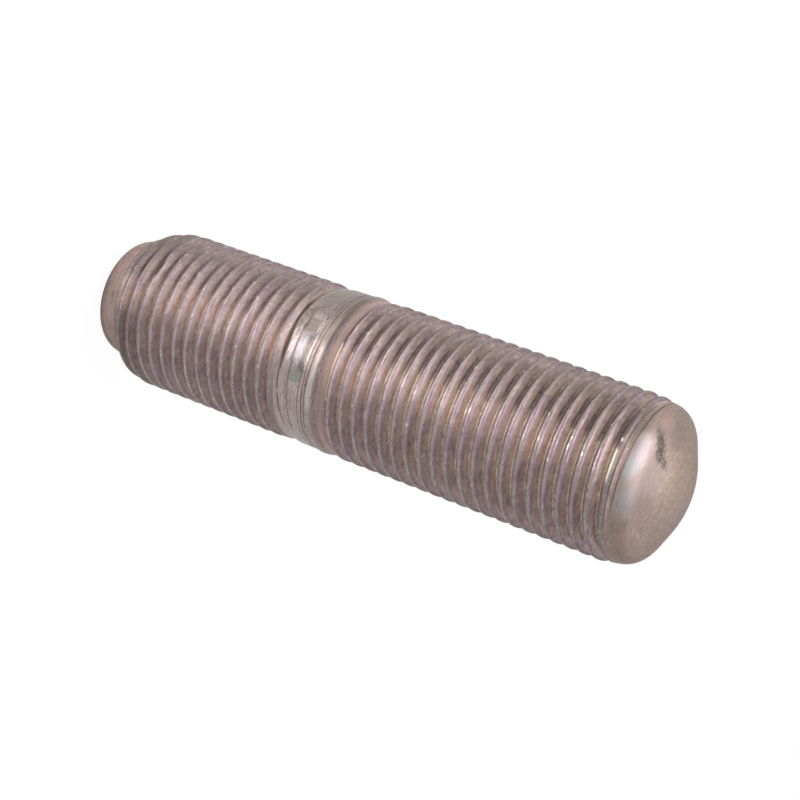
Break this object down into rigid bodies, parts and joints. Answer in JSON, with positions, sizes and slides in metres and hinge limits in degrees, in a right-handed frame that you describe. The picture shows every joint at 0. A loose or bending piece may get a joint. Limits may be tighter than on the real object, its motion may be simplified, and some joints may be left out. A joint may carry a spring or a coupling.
{
  "type": "double ended stud",
  "caption": "Headless steel stud with a fine thread at each end, a pilot and lead on the metal end, a crowned collar between the threads and a domed nut end.",
  "frame": {"origin": "middle of the flat face at the foot of the pilot, which is the metal end's tip and the face the stud stands on", "axes": "+Z along the stud's axis, from the pilot up to the domed nut end; X and Y are any two directions across the axis, +Y away from the picture's camera"},
  "size_m": [0.022, 0.022, 0.0873],
  "materials": {
    "plated_steel": "bright zinc plate with an iridescent yellow passivation, grey and mauve with gold in the thread roots, worn dull on the shank and both ends"
  },
  "bodies": {
    "root": {"stud": "plated_steel"}
  },
  "joints": []
}
